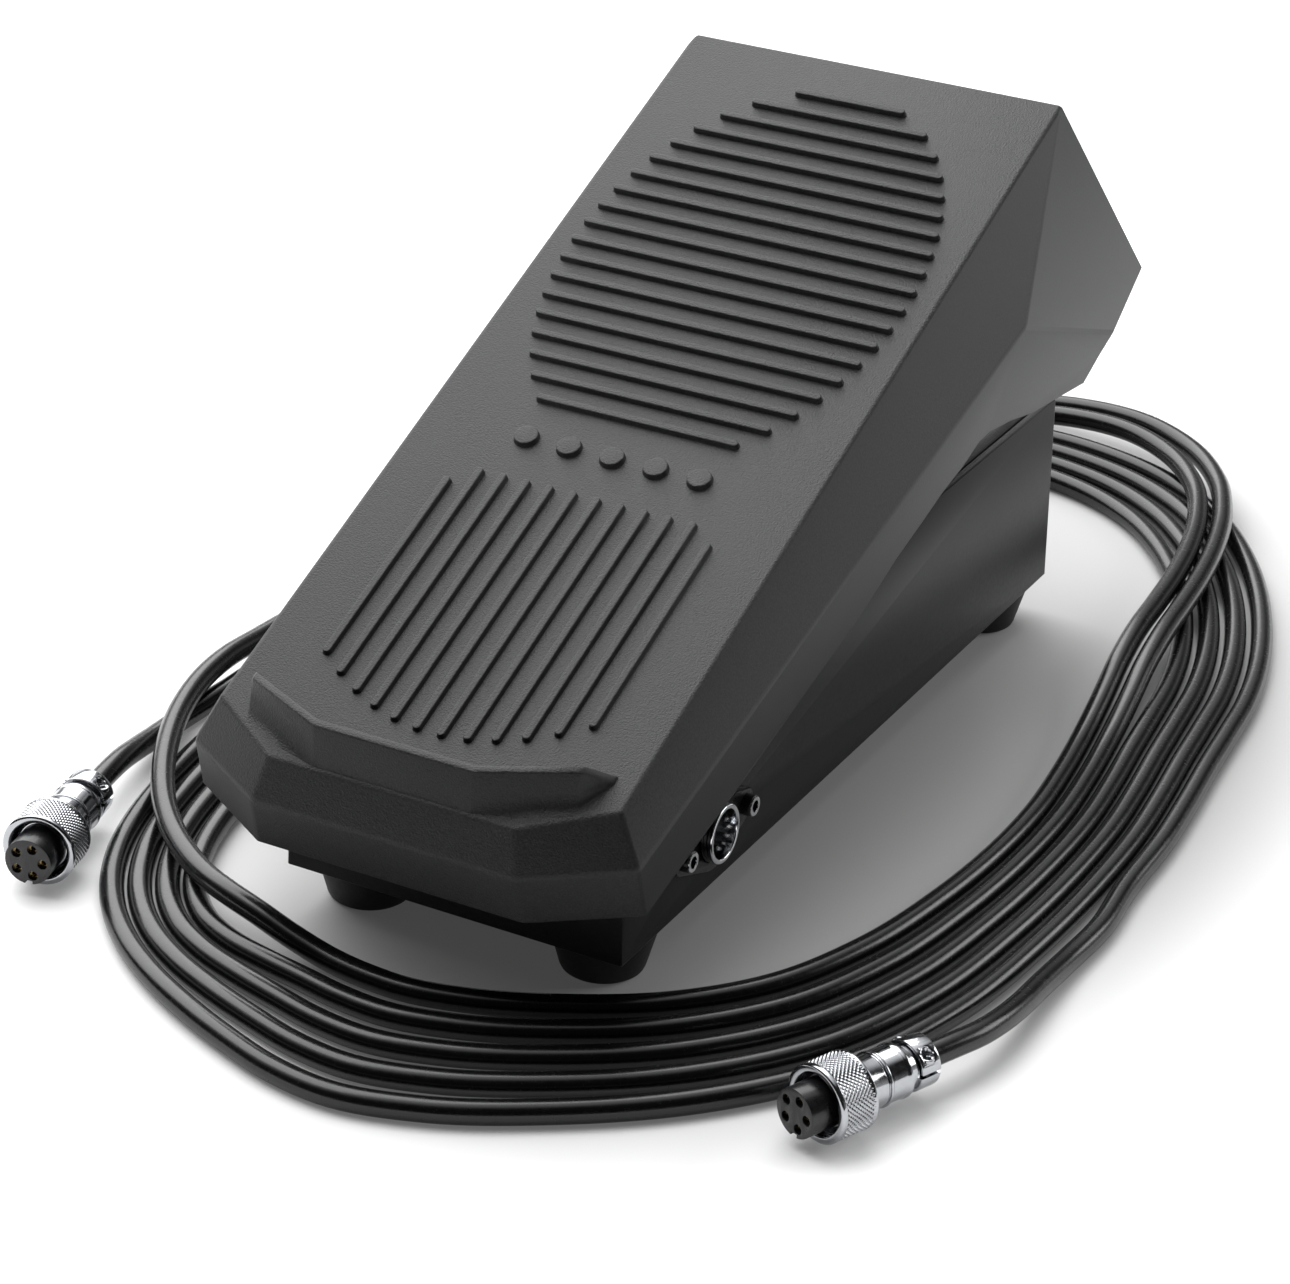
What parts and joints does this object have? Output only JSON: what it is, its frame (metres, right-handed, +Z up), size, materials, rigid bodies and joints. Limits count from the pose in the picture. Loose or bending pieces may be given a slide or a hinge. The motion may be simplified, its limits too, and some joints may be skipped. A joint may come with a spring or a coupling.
{
  "type": "sewing machine foot pedal",
  "caption": "Foot pedal for a sewing machine: sprung treadle hinged on a tub base with rubber feet, geared potentiometer, lever switch, round side socket and a loose lead with two plugs.",
  "frame": {"origin": "on the floor, under the middle of the treadle's footprint", "axes": "+Z up, +Y from the toe stop to the high end, +X to the user's right, the side with the socket"},
  "size_m": [0.2473, 0.426, 0.1535],
  "materials": {
    "base_plastic": "fine-grained",
    "treadle_plastic": "fine-grained",
    "foot_rubber": "matt",
    "zinc_steel": "zinc plated",
    "sheet_steel": "zinc plated",
    "spring_steel": "bright drawn",
    "component_case": "moulded",
    "plain_brass": "bright",
    "acetal": "natural",
    "socket_chrome": "bright",
    "insulator": "moulded",
    "plug_chrome": "bright",
    "lead_jacket": "smooth PVC"
  },
  "bodies": {
    "base": {"base_tub": "base_plastic", "base_lid": "base_plastic", "lid_screws": "zinc_steel", "foot_front_left": "foot_rubber", "foot_front_right": "foot_rubber", "foot_rear_left": "foot_rubber", "foot_rear_right": "foot_rubber", "foot_screws": "zinc_steel", "hinge_pin": "zinc_steel", "hinge_clips": "zinc_steel", "stop_bumpers": "foot_rubber", "pot_bracket": "sheet_steel", "pot_body": "component_case", "pot_nut": "zinc_steel", "bracket_screws": "zinc_steel", "switch_case": "component_case", "switch_pin": "zinc_steel", "switch_screws": "zinc_steel", "socket_shell": "socket_chrome", "socket_insert": "insulator", "socket_pins": "socket_chrome", "socket_flange": "insulator", "flange_eyelets": "socket_chrome", "return_spring": "spring_steel", "plug_a_barrel": "plug_chrome", "plug_a_insert": "insulator", "plug_a_saddle": "plug_chrome", "plug_b_barrel": "plug_chrome", "plug_b_insert": "insulator", "plug_b_saddle": "plug_chrome", "plug_contacts": "plain_brass", "saddle_screws": "plug_chrome", "lead_coil": "lead_jacket", "lead_run_a": "lead_jacket", "lead_run_b": "lead_jacket"},
    "treadle": {"treadle_cover": "treadle_plastic", "tread_ribs": "treadle_plastic", "toe_stop": "treadle_plastic", "hinge_bushes": "acetal", "gear_sector": "acetal", "sector_screws": "zinc_steel"},
    "pot_rotor": {"drive_pinion": "acetal", "pot_shaft": "plain_brass"},
    "lever": {"switch_lever": "sheet_steel"},
    "nut_a": {"plug_a_nut": "plug_chrome"},
    "nut_b": {"plug_b_nut": "plug_chrome"}
  },
  "joints": [
    {"name": "treadle_hinge", "type": "hinge", "parent": "base", "child": "treadle", "pos_m": [0, -0.096, 0.0514], "axis": [-1, 0, 0], "range_deg": [0, 10], "stiffness_Nm_per_rad": 4, "springref_deg": -14.32, "deforming": ["return_spring"]},
    {"name": "pot_turn", "type": "hinge", "parent": "base", "child": "pot_rotor", "pos_m": [0, -0.01084, 0.03943], "axis": [-1, 0, 0], "range_deg": [-134, 0]},
    {"name": "lever_press", "type": "hinge", "parent": "base", "child": "lever", "pos_m": [0.022, -0.079, 0.0427], "axis": [-1, 0, 0], "range_deg": [0, 20.5]},
    {"name": "nut_a_spin", "type": "hinge", "parent": "base", "child": "nut_a", "pos_m": [0.10382, -0.12447, 0.00895], "axis": [-0.3827, -0.9239, 0], "continuous": true},
    {"name": "nut_b_spin", "type": "hinge", "parent": "base", "child": "nut_b", "pos_m": [-0.09762, -0.1224, 0.00895], "axis": [0.2164, -0.9763, 0], "continuous": true}
  ],
  "couplings": [
    {"joint": "pot_turn", "follows": "treadle_hinge", "ratio": -13.333},
    {"joint": "lever_press", "follows": "treadle_hinge", "ratio": 2}
  ]
}
